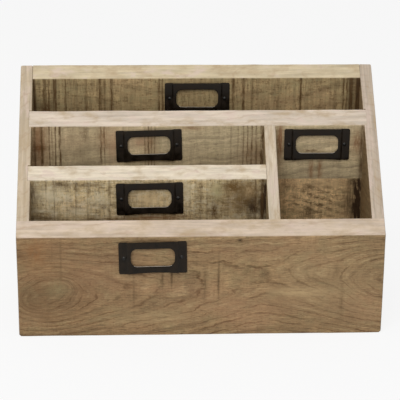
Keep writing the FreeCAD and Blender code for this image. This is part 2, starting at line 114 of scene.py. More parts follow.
# The sheet of a label holder: rows below and above its window, columns across it, and its rolled edges.
SHEET_ROWS = 4
CORNER_TURNS = range(0, 91, 15)
BEND_STEPS = 8
PLAIN_COLUMNS = (0, 5, 10, 15)
TAB_COLUMN_INSET = 6
COLUMN_DIGITS = 4
ROLL_WIDTH = 0.3
ROLL_SEGMENTS = 2
ROLL_ANGLE = math.radians(50)

# Pins, in millimetres. The profile runs from crown to point: radius, and depth below the tab's face.
PIN_SPACING = 63.5
PIN_SIDES = 28
PIN_CROWN = -0.9
PIN_PROFILE = (
    (0.5, -0.87), (1.0, -0.74), (1.45, -0.52), (1.8, -0.27), (2.02, -0.08), (2.1, 0.0), (0.75, 0.02),
    (0.7, 5.0), (0.42, 8.2),
)
PIN_POINT = 8.8

# Sockets of a node that mixes colours, which share their names with those for other kinds of value.
MIX_FIRST, MIX_SECOND, MIX_RESULT = 6, 7, 2


def top_height(y):
    """Height of the sloping top at a distance from front to back."""
    return FRONT_HEIGHT + SLOPE * (y - FRONT_FACE)


def grid_lines(low, high):
    """Places of a board's mesh lines between two ends: close together round the ends, even between them."""
    turns = [1 - math.tan(math.radians(angle)) for angle in EDGE_ANGLES]
    bends = {radius * turn for radius in (EDGE_RADIUS, CORNER_RADIUS) for turn in turns}
    bends = sorted({round(bend, GRID_DIGITS) for bend in bends})
    straight = high - low - 2 * bends[-1]
    count = max(1, round(straight / GRID_STEP))
    middle = [low + bends[-1] + straight * i / count for i in range(1, count)]
    return [low + bend for bend in bends] + middle + [high - bend for bend in reversed(bends)]


def box_skin(lines):
    """Corners and quads of a closed box with lines at the given places along X, Y and Z."""
    numbers = {}
    quads = []
    for axis in range(3):
        one, two = (axis + 1) % 3, (axis + 2) % 3
        last = len(lines[axis]) - 1
        for a in range(len(lines[one]) - 1):
            for b in range(len(lines[two]) - 1):
                ring = ((a, b), (a + 1, b), (a + 1, b + 1), (a, b + 1))
                for end, order in ((last, ring), (0, ring[::-1])):
                    quad = []
                    for at_one, at_two in order:
                        cell = [0, 0, 0]
                        cell[axis], cell[one], cell[two] = end, at_one, at_two
                        quad.append(numbers.setdefault(tuple(cell), len(numbers)))
                    quads.append(quad)
    corners = [Vector(lines[axis][i] for axis, i in enumerate(cell)) for cell in numbers]
    return corners, quads


def eased(point, low, high, radius, sharp):
    """A point of a box moved so that its edges are round, and how far round an edge it is.

    Edges along the sides of the box that are named as sharp, such as "-Y", stay as they are.
    """
    inner = Vector()
    for axis, name in enumerate("XYZ"):
        first = low[axis] if f"-{name}" in sharp else low[axis] + radius
        last = high[axis] if f"+{name}" in sharp else high[axis] - radius
        inner[axis] = min(max(point[axis], first), last)
    away = point - inner
    if away.length == 0:
        return point, 0
    reach = max(abs(part) for part in away)
    return inner + away.normalized() * reach, 1 - reach / away.length


def new_piece(name, corners, faces, material, node):
    """A mesh object that rides on the organizer in place of a node."""
    mesh = bpy.data.meshes.new(name)
    mesh.from_pydata(corners, [], faces)
    mesh.materials.append(material)
    piece = bpy.data.objects.new(name, mesh)
    bpy.context.collection.objects.link(piece)
    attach(piece, BODY)
    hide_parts(node)
    return piece


def smooth(piece):
    """Smooth shading that keeps the sharp corners."""
    piece.data.shade_smooth()
    piece.data.set_sharp_from_angle(angle=SMOOTH_ANGLE)


def mark_wear_and_highlight(piece, values):
    """Keeps for each corner of a piece a share from 0 to 1: on a board how worn its edge is, on a label
    holder where its sill gets a painted highlight.
    """
    piece.data.attributes.new("wear", "FLOAT", "POINT").data.foreach_set("value", values)


def make_board(node, material, sharp):
    """A solid board with worn, rounded edges and faces that wander a little, in place of its node."""
    low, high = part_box(node)
    sloping = node not in FLAT_TOPS
    if sloping:
        high.z = top_height(low.y)
    corners, quads = box_skin([grid_lines(low[axis], high[axis]) for axis in range(3)])
    places = []
    rounds = []
    for corner in corners:
        wear = 1 + WEAR_SHARE * noise.noise(corner / WEAR_LENGTH)
        point, roundness = eased(corner, low, high, EDGE_RADIUS * wear, sharp)
        if node == "front_panel":
            point, _ = eased(point, low, high, CORNER_RADIUS, CORNER_SHARP_SIDES)
        if sloping:
            share = (point.z - low.z) / (high.z - low.z)
            point.z += share * (top_height(point.y) - high.z)
        point += SWAY * noise.noise_vector(point / SWAY_LENGTH)
        point.z = max(point.z, 0)
        places.append(point)
        rounds.append(roundness)
    board = new_piece(f"{node}_board", places, quads, material, node)
    mark_wear_and_highlight(board, rounds)
    return board


def add_box(mesh, low, high):
    """Adds a plain box to a mesh that cuts."""
    middle = Matrix.Translation((low + high) / 2)
    bmesh.ops.create_cube(mesh, size=1, matrix=middle @ Matrix.Diagonal((*(high - low), 1)))


def cut(board, boxes):
    """Takes boxes out of a board."""
    mesh = bmesh.new()
    for low, high in boxes:
        add_box(mesh, low, high)
    data = bpy.data.meshes.new("cutter")
    mesh.to_mesh(data)
    mesh.free()
    cutter = bpy.data.objects.new("cutter", data)
    bpy.context.collection.objects.link(cutter)
    modifier = board.modifiers.new("housings", "BOOLEAN")
    modifier.object = cutter
    seen = board.evaluated_get(bpy.context.evaluated_depsgraph_get())
    result = bpy.data.meshes.new_from_object(seen)
    board.modifiers.clear()
    board.data = result
    bpy.data.objects.remove(cutter)


def box_round(places):
    """The lowest and the highest corner of the box round some places."""
    low = Vector(min(place[axis] for place in places) for axis in range(3))
    high = Vector(max(place[axis] for place in places) for axis in range(3))
    return low, high


def housing(*nodes):
    """The room that a divider of one or two planks takes in the boards that carry it."""
    low, high = box_round([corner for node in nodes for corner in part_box(node)])
    gap = Vector((HOUSING_GAP, HOUSING_GAP, OVERCUT))
    low -= gap
    high += gap
    high.z = BACK_CORNER.z
    return low, high


def solids_of(node):
    """The box of each separate solid in a node."""
    mesh = bmesh.new()
    mesh.from_mesh(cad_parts[node].data)
    bmesh.ops.remove_doubles(mesh, verts=mesh.verts, dist=WELD_DISTANCE)
    seen = set()
    boxes = []
    for start in mesh.verts:
        if start in seen:
            continue
        found = {start}
        waiting = [start]
        while waiting:
            vertex = waiting.pop()
            near = {edge.other_vert(vertex) for edge in vertex.link_edges} - found
            found |= near
            waiting.extend(near)
        seen |= found
        boxes.append(box_round([vertex.co for vertex in found]))
    mesh.free()
    return boxes


def nail_holes(side):
    """Room over the heads of the brads that were driven through a side, out to beyond its outer face."""
    low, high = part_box(side)
    boxes = []
    for node in SIDE_BRADS:
        for first, last in solids_of(node):
            if side == "left_side" and first.x < 0:
                last.x = first.x + HOUSING_GAP
                first.x = low.x - OVERCUT
                boxes.append((first, last))
            if side == "right_side" and last.x > 0:
                first.x = last.x - HOUSING_GAP
                last.x = high.x + OVERCUT
                boxes.append((first, last))
    return boxes


def colour(red, green, blue):
    """A shader's colour for one written as 0 to 255 along the usual screen curve."""
    parts = [part / 255 for part in (red, green, blue)]
    return (*[p / 12.92 if p <= 0.04045 else ((p + 0.055) / 1.055) ** 2.4 for p in parts], 1)


def grey(level):
    """A shader's grey, from 0 to 1."""
    return (level, level, level, 1)


def tinted(base, share):
    """A shader's colour made lighter or darker."""
    return (*[part * share for part in base[:3]], 1)


class Shade:
    """The nodes of one material. A value is a number, a colour, a vector or another node's output."""

    def __init__(self, name):
        self.material = bpy.data.materials.new(name)
        self.material.use_nodes = True
        self.nodes = self.material.node_tree.nodes
        self.links = self.material.node_tree.links
        self.surface = self.nodes["Principled BSDF"]

    def feed(self, socket, value):
        """Links another node's output to a socket, or sets the socket itself."""
        if isinstance(value, bpy.types.NodeSocket):
            self.links.new(value, socket)
        else:
            socket.default_value = value

    def finish(self, **inputs):
        """Sets the surface's own sockets by name, with spaces for underscores, and gives the material."""
        for name, value in inputs.items():
            self.feed(self.surface.inputs[name.replace("_", " ")], value)
        return self.material

    def node(self, kind, values, **settings):
        """A node of some kind with its first inputs and its settings."""
        node = self.nodes.new(f"ShaderNode{kind}")
        for name, setting in settings.items():
            setattr(node, name, setting)
        for socket, value in zip(node.inputs, values):
            self.feed(socket, value)
        return node

    def math(self, operation, *values):
        """The result of arithmetic on numbers."""
        return self.node("Math", values, operation=operation).outputs[0]

    def times(self, first, second):
        """Two numbers multiplied."""
        return self.math("MULTIPLY", first, second)

    def added(self, value, factor, base):
        """A number times a factor, added to a base."""
        return self.math("MULTIPLY_ADD", value, factor, base)

    def vector(self, x=0.0, y=0.0, z=0.0):
        """A vector of three numbers."""
        return self.node("CombineXYZ", (x, y, z)).outputs[0]

    def parts(self, vector):
        """The three numbers of a vector."""
        return self.node("SeparateXYZ", (vector,)).outputs[:]

    def scaled(self, vector, factor):
        """A vector or a colour times a number."""
        node = self.node("VectorMath", (vector,), operation="SCALE")
        self.feed(node.inputs["Scale"], factor)
        return node.outputs[0]

    def noise(self, place, detail, roughness):
        """Soft noise round 0.5 with patches about as large as one unit of the place."""
        node = self.node("TexNoise", (place,))
        node.inputs["Scale"].default_value = 1
        node.inputs["Detail"].default_value = detail
        node.inputs["Roughness"].default_value = roughness
        return node.outputs["Fac"]

    def spread(self, value, low, high, to_low=0.0, to_high=1.0):
        """The value moved from one range to another, smoothly and no further than its ends."""
        values = (value, low, high, to_low, to_high)
        return self.node("MapRange", values, interpolation_type="SMOOTHSTEP").outputs[0]

    def blend(self, share, first, second):
        """Two colours mixed, with so large a share of the second."""
        node = self.node("Mix", (share,), data_type="RGBA")
        self.feed(node.inputs[MIX_FIRST], first)
        self.feed(node.inputs[MIX_SECOND], second)
        return node.outputs[MIX_RESULT]

    def ramp(self, value, stops, interpolation="LINEAR"):
        """Colours at places between 0 and 1, mixed in between."""
        node = self.node("ValToRGB", (value,))
        node.color_ramp.interpolation = interpolation
        elements = node.color_ramp.elements
        while len(elements) < len(stops):
            elements.new(1)
        for element, (place, paint) in zip(elements, stops):
            element.position = place
            element.color = paint
        return node.outputs[0]

    def coordinates(self, kind):
        """Places or directions on the object itself."""
        return self.nodes.new("ShaderNodeTexCoord").outputs[kind]

    def millimetres(self):
        """Places on the organizer in millimetres."""
        return self.scaled(self.coordinates("Object"), 1 / MM)

    def attribute(self, name):
        """A number that is kept for each corner of the mesh."""
        return self.node("Attribute", (), attribute_name=name).outputs["Fac"]

    def bump(self, height, strength, distance):
        """The direction of a surface roughened by a height."""
        node = self.nodes.new("ShaderNodeBump")
        node.inputs["Strength"].default_value = strength
        node.inputs["Distance"].default_value = distance
        self.feed(node.inputs["Height"], height)
        return node.outputs["Normal"]


# Colours that the boards share. The saw-mark and stain browns also serve as painted shade at some ends of
# boards, next to the sides.
SAW_MARK_AND_SHADE = colour(78, 58, 34)
LATE_WOOD = colour(86, 57, 30)
PORE = colour(74, 54, 33)
STAIN_AND_SHADE = colour(52, 34, 15)
BROWN = colour(84, 60, 30)
UMBER = colour(106, 80, 42)
RED_BROWN = colour(126, 84, 50)
WARM = colour(156, 106, 62)
ROSE = colour(168, 126, 96)
OLIVE = colour(152, 139, 100)
PALE_OLIVE = colour(184, 174, 130)
DULL_BROWN = colour(122, 105, 77)
KNOT_BROWN = colour(130, 104, 73)
LIGHT_TAN = colour(190, 162, 120)
PALE = colour(214, 199, 166)
ROSY = colour(226, 204, 188)
HONEY = colour(192, 168, 134)
SAWN = colour(172, 148, 110)
PLANED = colour(152, 124, 89)

# Noise on the faces: millimetres along the grain and across it, detail and roughness.
RING_WANDER = (90, 34, 5.0, 0.56)
RING_CRINKLE = (22, 12, 3.0, 0.6)
RING_RAGGED = (12, 3, 3.0, 0.65)
CLEAR_LINES = (36, 13, 3.0, 0.6)
FRESH_LINES = (52, 11, 3.0, 0.6)
SAW_AREAS = (26, 40, 2.0, 0.5)
SAW_STRIPES = (3.5, 60, 2.0, 0.5)
TORN_LINES = (2.4, 8, 4.0, 0.72)
TORN_GRAIN = (11, 2.2, 4.0, 0.72)
STREAK_WOBBLE = (4, 16, 5.0, 0.75)
STREAK_BREAKS = (1.6, 12, 4.0, 0.72)
CHATTER_SWAY = (30, 20, 2.0, 0.5)
CHATTER_BLOTCHES = (8, 4.5, 4.0, 0.7)
FIBRES = (13, 0.8, 3.0, 0.65)
PORES = (4, 0.7, 1.0, 0.5)
DRIFT = (95, 40, 2.0, 0.5)

# Noise on the sanded top edges, in the same terms.
EDGE_GRAIN = (60, 3.2, 5.0, 0.62)
EDGE_AREAS = (26, 10, 4.0, 0.62)
EDGE_FLECKS = (9, 1.6, 4.0, 0.7)

# Growth rings: their spacing and the length in which they change, in millimetres. The rest are shares of
# the spacing: how uneven they are, where they turn round, and where their dark and pale lines lie.
RING_SPACING = 5.5
RING_LENGTH = 240
RING_UNEVENNESS = 0.8 * RING_SPACING
RING_TURN = 0.62 * RING_SPACING
DARK_LINE_END = 0.17 * RING_SPACING
PALE_LINE_START = 0.36 * RING_SPACING
PALE_LINE_END = 0.6 * RING_SPACING
RAGGED_REACH = 2.2

# Saw lines and stains: the width of a line, how far stains stray and how fine their breaks are, at least.
SAW_LINE = 1.2
STREAK_STRAY = 4.0
FINEST_BREAK = 1.5

# The noise levels round which a board's pale and dark clouds begin.
PALE_CLOUD = 0.56
DARK_CLOUD = 0.41

# A colour ramp holds few stops, so long rows of streaks are painted in several goes.
RAMP_STREAKS = 10


@dataclass(frozen=True)
class Look:
    """How the wood of one board looks: one tone for its faces, another for its sanded top edge.

    Grain is the axis that it runs along. Lengths are in millimetres, the others are shares from 0 to 1.
    Pith, knots, patches, streaks and chatter are described where they are listed.
    """

    name: str
    grain: str
    seed: float
    tone: tuple
    sanded: tuple
    pith: tuple
    saw: float = 0.6
    saw_length: float = 24
    mottle: float = 0.5
    mottle_size: tuple = (23, 15)
    pale: tuple = OLIVE
    softness: float = 0.1
    fibre: float = 0.12
    lines: float = 0.2
    sway: float = 16
    torn: float = 0
    knots: tuple = ()
    patches: tuple = ()
    streaks: tuple = ()
    chatter: tuple = ()


class Wood(Shade):
    """A board's material, with places along its grain, across it and through the board, in millimetres."""

    def __init__(self, look):
        super().__init__(look.name)
        self.look = look
        x, y, z = self.parts(self.millimetres())
        normal_x, normal_y, normal_z = self.parts(self.coordinates("Normal"))
        self.across = z
        self.upward = normal_z
        if look.grain == "X":
            self.along, self.through = x, y
            endward, outward = normal_x, normal_y
        else:
            self.along, self.through = y, x
            endward, outward = normal_y, normal_x
        self.endward = self.math("ABSOLUTE", endward)
        # The faces that get patches and stains, painted shade among them: those turned to the front, and for
        # boards that run front to back those turned to the left.
        self.shown = self.spread(self.times(outward, -1.0), 0.2, 0.8)
        self.bands, self.late_wood, self.early_wood = self.rings()
        self.fibres = self.field(*FIBRES)
        self.pores = self.spread(self.field(*PORES), 0.58, 0.7)
        self.clouds = self.field(*look.mottle_size, 5.0, 0.68)
        self.saw_marks = self.saw_lines()

    def field(self, along, across, detail, roughness):
        """Noise whose patches are about so many millimetres along and across the grain."""
        place = self.vector(
            self.added(self.along, 1 / along, self.look.seed + along),
            self.times(self.across, 1 / across),
            self.times(self.through, 1 / across),
        )
        return self.noise(place, detail, roughness)

    def edge_field(self, along, across, detail, roughness):
        """Noise along the top edge of the board, whatever its slope."""
        place = self.vector(
            self.added(self.along, 1 / along, self.look.seed),
            self.times(self.through, 1 / across),
            self.look.seed + across,
        )
        return self.noise(place, detail, roughness)

    def stray(self, *size):
        """Noise on the faces, round 0 in place of 0.5."""
        return self.math("SUBTRACT", self.field(*size), 0.5)

    def spot(self, place, size, strength):
        """A soft round spot on the face: its strength in its middle, falling to nothing round it."""
        u = self.math("DIVIDE", self.math("SUBTRACT", self.along, place[0]), size[0])
        v = self.math("DIVIDE", self.math("SUBTRACT", self.across, place[1]), size[1])
        square = self.added(u, u, self.times(v, v))
        return self.times(self.math("EXPONENT", self.times(square, -1.0)), strength)

    def curve(self, points):
        """A smooth curve along the grain through points, each a place and a value in millimetres."""
        first, last = points[0][0], points[-1][0]
        values = [value for _, value in points]
        low, reach = min(values), max(max(values) - min(values), 1)
        stops = [((place - first) / (last - first), grey((value - low) / reach)) for place, value in points]
        share = self.math("DIVIDE", self.math("SUBTRACT", self.along, first), last - first)
        return self.added(self.ramp(share, stops, "CARDINAL"), reach, low)

    def pith_distance(self):
        """How far a place is from the pith, with the wander of the rings and the knots they close round."""
        look = self.look
        height = self.curve([(place, height) for place, height, _ in look.pith])
        depth = self.curve([(place, depth) for place, _, depth in look.pith])
        up = self.math("SUBTRACT", self.across, height)
        back = self.math("SUBTRACT", self.through, depth)
        distance = self.math("SQRT", self.added(up, up, self.times(back, back)))
        distance = self.added(self.stray(*RING_WANDER), look.sway, distance)
        distance = self.added(self.stray(*RING_CRINKLE), 0.5 * look.sway, distance)
        for knot in look.knots:
            distance = self.math("SUBTRACT", distance, self.spot(*knot))
        return distance

    def rings(self):
        """Growth rings: an uneven run of light and dark, the dark lines in it and the pale lines."""
        distance = self.pith_distance()
        run = self.added(self.along, 1 / RING_LENGTH, self.look.seed)
        bands = self.noise(self.vector(self.times(distance, 1 / RING_SPACING), run), 4.0, 0.62)
        ragged = self.added(self.field(*RING_RAGGED), RAGGED_REACH, distance)
        wave = self.math("PINGPONG", self.added(bands, RING_UNEVENNESS, ragged), RING_TURN)
        dark = self.spread(wave, 0.0, DARK_LINE_END, 1.0, 0.0)
        pale = self.spread(wave, PALE_LINE_START, PALE_LINE_END)
        clear = self.spread(self.field(*CLEAR_LINES), 0.38, 0.6, 0.2, 1.0)
        fresh = self.spread(self.field(*FRESH_LINES), 0.46, 0.64)
        return bands, self.times(dark, clear), self.times(pale, fresh)

    def saw_lines(self):
        """Upright lines left by the saw, close together, in some areas more than in others."""
        lines = self.spread(self.field(SAW_LINE, self.look.saw_length, 3.0, 0.7), 0.48, 0.68)
        areas = self.spread(self.field(*SAW_AREAS), 0.36, 0.6, 0.2, 1.0)
        return self.times(lines, areas)

    def torn_grain(self):
        """Small crisp marks where the saw tore the grain: dark pits and pale burrs."""
        depth = self.times(self.field(*TORN_LINES), self.field(*TORN_GRAIN))
        return self.spread(depth, 0.27, 0.34), self.spread(depth, 0.16, 0.215, 1.0, 0.0)

    def patch(self, place, size, strength):
        """A soft patch on the face, broken up."""
        breaks = self.field(max(size[0] / 3, FINEST_BREAK), size[1] / 2, 4.0, 0.65)
        return self.times(self.spot(place, size, strength), self.spread(breaks, 0.32, 0.58, 0.4, 1.0))

    def streaks(self, streaks):
        """Upright stains with ragged edges, each with its place, half width and strength; a few at the ends,
        next to the sides, also paint corner shade.
        """
        ragged = self.added(self.stray(*STREAK_WOBBLE), STREAK_STRAY, self.along)
        low, high = streaks[0][0] - streaks[0][1], streaks[-1][0] + streaks[-1][1]
        share = self.math("DIVIDE", self.math("SUBTRACT", ragged, low), high - low)
        stops = []
        for place, half, strength in streaks:
            for at, level in ((place - half, 0), (place, strength), (place + half, 0)):
                stops.append(((at - low) / (high - low), grey(level)))
        dark = self.spread(self.ramp(share, stops), 0.05, 0.68)
        broken = self.spread(self.field(*STREAK_BREAKS), 0.36, 0.6, 0.3, 1.0)
        return self.times(dark, broken)

    def chatter(self, lean, spacing, *area):
        """Dark blotches in slanting rows, where a saw chattered in some area."""
        slanted = self.added(self.along, lean, self.across)
        slanted = self.added(self.field(*CHATTER_SWAY), 0.9 * spacing, slanted)
        wave = self.math("PINGPONG", slanted, spacing / 2)
        rows = self.spread(wave, 0.02 * spacing, 0.42 * spacing)
        blotches = self.spread(self.field(*CHATTER_BLOTCHES), 0.42, 0.58)
        return self.times(self.times(rows, blotches), self.spot(*area))

    def figure(self):
        """The colours of the growth rings, plainer where the saw left the wood rough."""
        look = self.look
        tones = [(0.3, tinted(look.tone, 0.62)), (0.5, look.tone), (0.7, tinted(look.tone, 1.34))]
        face = self.blend(0.6 * look.saw, self.ramp(self.bands, tones), look.tone)
        face = self.blend(self.times(self.late_wood, look.lines), face, LATE_WOOD)
        return self.blend(self.times(self.early_wood, 0.8 * look.lines), face, LIGHT_TAN)

    def mottled(self, face):
        """The face with its pale and dark clouds, and rosier and lighter in larger areas."""
        look = self.look
        soft = look.softness
        pale = self.spread(self.clouds, PALE_CLOUD - soft, PALE_CLOUD + soft, 0.0, look.mottle)
        dark = self.spread(self.clouds, DARK_CLOUD - soft, DARK_CLOUD + soft, 0.6 * look.mottle, 0.0)
        drift = self.field(*DRIFT)
        face = self.blend(pale, face, look.pale)
        face = self.blend(dark, face, SAW_MARK_AND_SHADE)
        face = self.blend(self.spread(drift, 0.5, 0.72, 0.0, 0.2), face, ROSE)
        return self.scaled(face, self.spread(drift, 0.3, 0.7, 0.88, 1.12))

    def sawn(self, face):
        """The face with its fibres and pores, and with the marks of a saw."""
        look = self.look
        stripe = 0.3 * look.saw
        pits, burrs = self.torn_grain()
        face = self.scaled(face, self.spread(self.fibres, 0.28, 0.72, 1 - look.fibre, 1 + look.fibre))
        stripes = self.spread(self.field(*SAW_STRIPES), 0.34, 0.66, 1 - stripe, 1 + stripe)
        face = self.scaled(face, stripes)
        face = self.blend(self.times(self.pores, 1.6 * look.fibre), face, PORE)
        face = self.blend(self.times(self.saw_marks, look.saw), face, SAW_MARK_AND_SHADE)
        face = self.blend(self.times(burrs, look.torn), face, look.pale)
        return self.blend(self.times(pits, look.torn), face, BROWN)

    def stained_and_shaded(self, face):
        """The face with its patches of colour, its upright stains and the marks of a saw that chattered, with
        painted shade at some ends of boards and on the right side's inner face.
        """
        look = self.look
        for *patch, paint in look.patches:
            face = self.blend(self.patch(*patch), face, paint)
        if look.chatter:
            face = self.blend(self.chatter(*look.chatter), face, SAW_MARK_AND_SHADE)
        for first in range(0, len(look.streaks), RAMP_STREAKS):
            some = look.streaks[first:first + RAMP_STREAKS]
            face = self.blend(self.streaks(some), face, BROWN)
        return face

    def sanded_edge(self):
        """The pale top edge: fine grain, soft darker and rosier areas, growth lines and a few flecks."""
        tone = self.look.sanded
        areas = self.edge_field(*EDGE_AREAS)
        flecks = self.spread(self.edge_field(*EDGE_FLECKS), 0.62, 0.8)
        tones = [(0.3, tinted(tone, 0.78)), (0.5, tone), (0.66, tinted(tone, 1.16))]
        edge = self.ramp(self.edge_field(*EDGE_GRAIN), tones)
        edge = self.blend(self.spread(areas, 0.46, 0.74, 0.0, 0.8), edge, HONEY)
        edge = self.blend(self.spread(areas, 0.32, 0.48, 0.7, 0.0), edge, ROSY)
        edge = self.blend(self.times(self.late_wood, 0.2), edge, WARM)
        return self.blend(self.times(flecks, 0.4), edge, BROWN)

    def relief(self):
        """How high the fibres and rings stand, and how deep the saw marks and pores lie."""
        height = self.added(self.fibres, 4 * self.look.fibre, self.times(self.bands, 0.3))
        height = self.added(self.saw_marks, -1.2 * self.look.saw, height)
        return self.added(self.pores, -0.3, height)

    def dressed(self):
        """The finished material: faces, stains and painted shade where the board is shown, top edge, ends and
        worn edges.
        """
        face = self.sawn(self.mottled(self.figure()))
        # Patches and stains, painted shade among them, go only on the faces that are shown.
        face = self.blend(self.shown, face, self.stained_and_shaded(face))
        whole = self.blend(self.spread(self.upward, 0.3, 0.58), face, self.sanded_edge())
        whole = self.blend(self.spread(self.endward, 0.6, 0.9, 0.0, 0.3), whole, SAW_MARK_AND_SHADE)
        worn = self.times(self.attribute("wear"), self.spread(self.clouds, 0.35, 0.65, 0.3, 1.2))
        return self.finish(
            Base_Color=self.blend(worn, whole, self.look.sanded),
            Roughness=self.spread(self.fibres, 0.25, 0.75, 0.62, 0.82),
            Specular_IOR_Level=0.25,
            Normal=self.bump(self.relief(), 0.4, 0.4 * MM),
        )


# Where the pith of each board's log ran: places along the grain, each with its height and its depth.
FRONT_PITH = (
    (-203, 50, -56), (-165, 51, -58), (-107, 53, -53), (-50, 58, -44), (0, 63, -37), (62, 75, -30),
    (97, 76, -33), (133, 73, -40), (165, 70, -47), (203, 67, -54),
)
LEFT_PITH = ((-80, 60, -178), (-20, 78, -164), (90, 120, -150))
RIGHT_PITH = ((-80, 90, 172), (10, 84, 160), (90, 60, 178))
BACK_LOWER_PITH = ((-203, 40, 120), (-40, 66, 104), (80, 58, 96), (203, 30, 112))
BACK_UPPER_PITH = ((-203, 210, 106), (0, 196, 120), (203, 224, 100))
REAR_LOWER_PITH = ((-203, 30, 60), (203, 60, 40))
REAR_UPPER_PITH = ((-203, 250, 80), (203, 300, 60))
FRONT_DIVIDER_PITH = ((-203, 60, 0), (203, 40, 20))
CROSS_PITH = ((-80, 150, 110), (40, 170, 130))
BOTTOM_PITH = ((-203, -26, -20), (-60, -18, 6), (70, -34, 14), (203, -20, -6))

# Knots near the front face, which its rings close round: place, size and height in millimetres.
FRONT_KNOTS = (
    ((-168, 51), (34, 38), 22), ((-187, 40), (13, 11), 9), ((-150, 61), (9, 8), 6),
    ((120, 76), (26, 15), 7), ((206, 67), (44, 36), 17),
)

# Patches of colour on the boards: place, size, strength and paint. Most are stains and marks; those noted
# below paint shade, at ends next to the sides and on the right side's inner face.
FRONT_PATCHES = (
    ((-182, 100), (14, 20), 0.5, WARM),
    ((-194, 44), (16, 22), 0.65, KNOT_BROWN),
    ((-166, 26), (26, 8), 0.5, KNOT_BROWN),
    ((-172, 50), (44, 34), 0.3, SAW_MARK_AND_SHADE),
    ((-160, 66), (60, 60), 0.25, RED_BROWN),
    ((-160, 58), (12, 10), 0.5, OLIVE),
    ((-110, 74), (46, 30), 0.25, ROSE),
    ((44, 36), (80, 22), 0.3, ROSE),
    ((60, 104), (60, 10), 0.25, ROSE),
    ((178, 34), (30, 26), 0.25, ROSE),
    ((42, 114), (3, 2), 1.0, STAIN_AND_SHADE),
    ((71, 74), (6, 4), 0.7, SAW_MARK_AND_SHADE),
    ((150, 60), (70, 60), 0.25, LIGHT_TAN),
    ((112, 51), (32, 6), 0.95, LIGHT_TAN),
    ((112, 76), (16, 9), 0.4, LIGHT_TAN),
    ((-52, 22), (44, 8), 0.5, LIGHT_TAN),
    ((-155, 94), (1.2, 26), 0.3, SAW_MARK_AND_SHADE),
    ((-75, 55), (1.2, 20), 0.5, SAW_MARK_AND_SHADE),
    ((-43, 70), (1.6, 12), 0.7, SAW_MARK_AND_SHADE),
    ((-33, 72), (1.4, 14), 0.9, SAW_MARK_AND_SHADE),
    ((4, 62), (2.4, 18), 0.6, SAW_MARK_AND_SHADE),
    ((19, 66), (1.4, 26), 0.8, SAW_MARK_AND_SHADE),
    ((150, 76), (4, 12), 0.3, SAW_MARK_AND_SHADE),
    ((157, 42), (2.2, 26), 0.35, SAW_MARK_AND_SHADE),
)
FRONT_DIVIDER_PATCHES = (
    # Painted shade at the left end, next to the left side.
    ((-187, 150), (5, 20), 0.9, SAW_MARK_AND_SHADE),
    ((-176, 122), (16, 5), 0.7, BROWN),
    ((-176, 130), (14, 1.8), 0.9, PALE),
    ((-166, 148), (16, 10), 0.8, PALE),
    ((-138, 129), (14, 5), 0.7, PALE),
    ((-112, 142), (9, 6), 0.7, PALE),
    ((-156, 162), (8, 3), 0.8, SAW_MARK_AND_SHADE),
    ((-128, 161), (22, 2.5), 0.7, SAW_MARK_AND_SHADE),
    ((-108, 134), (4, 3), 0.8, BROWN),
    ((-100, 120), (70, 3), 0.7, SAW_MARK_AND_SHADE),
    ((-58, 144), (20, 9), 0.7, LIGHT_TAN),
    ((-50, 121), (34, 3.5), 0.8, RED_BROWN),
    ((-14, 148), (5, 14), 0.5, PALE),
    ((19, 152), (7, 11), 0.8, PALE_OLIVE),
    ((16, 129), (3, 8), 1.2, BROWN),
    ((37, 157), (11, 8), 1.2, UMBER),
    ((55, 153), (14, 12), 0.9, UMBER),
    ((48, 140), (20, 12), 0.8, UMBER),
    ((34, 134), (30, 22), 0.35, UMBER),
    ((55, 151), (4, 6), 0.7, LIGHT_TAN),
    ((61, 132), (11, 13), 1.0, STAIN_AND_SHADE),
    ((65, 123), (7, 2.5), 0.6, PALE),
    ((73, 140), (6, 26), 1.8, STAIN_AND_SHADE),
)
# Painted shade: a broad umber darkening of the right side's inner face, which stands in shadow beside the
# bay.
RIGHT_SIDE_INNER_SHADE = (((0, 130), (300, 300), 0.6, UMBER),)
BACK_PATCHES = (
    # Stain and painted corner shade at the left end, next to the left side.
    ((-189, 236), (3, 40), 1.0, STAIN_AND_SHADE),
    ((-175, 220), (7, 8), 1.0, BROWN),
    ((-164, 242), (2.4, 20), 0.8, STAIN_AND_SHADE),
    ((-110, 240), (5, 20), 0.4, BROWN),
    ((66, 238), (6, 8), 0.6, SAW_MARK_AND_SHADE),
    ((179, 236), (3, 40), 1.0, STAIN_AND_SHADE),
    # Stain and painted corner shade at the right end, next to the right side.
    ((188, 236), (4, 60), 1.6, STAIN_AND_SHADE),
)
REAR_UPPER_PATCHES = (
    ((-181, 187), (9, 5), 1.2, BROWN),
    ((-181, 198), (9, 20), 0.7, RED_BROWN),
    ((-134, 190), (40, 50), 0.5, DULL_BROWN),
    ((-182, 188), (12, 60), 0.5, RED_BROWN),
    ((-129, 204), (4, 10), 0.6, BROWN),
    ((-108, 200), (6, 15), 0.7, RED_BROWN),
    ((-97, 190), (6, 22), 0.6, ROSE),
    ((-66, 194), (8, 8), 0.6, ROSE),
    ((-55, 190), (8, 18), 0.6, RED_BROWN),
    ((-8, 210), (14, 3), 0.6, RED_BROWN),
    ((62, 178), (14, 14), 0.5, RED_BROWN),
    ((93, 193), (4, 24), 1.1, RED_BROWN),
    ((128, 182), (12, 2.5), 0.9, BROWN),
    ((130, 160), (3, 14), 0.8, RED_BROWN),
    ((140, 160), (3, 14), 0.8, RED_BROWN),
    ((182, 192), (6, 14), 0.8, RED_BROWN),
    # Painted shade along the right end, next to the right side.
    ((189, 172), (4, 30), 0.9, SAW_MARK_AND_SHADE),
)
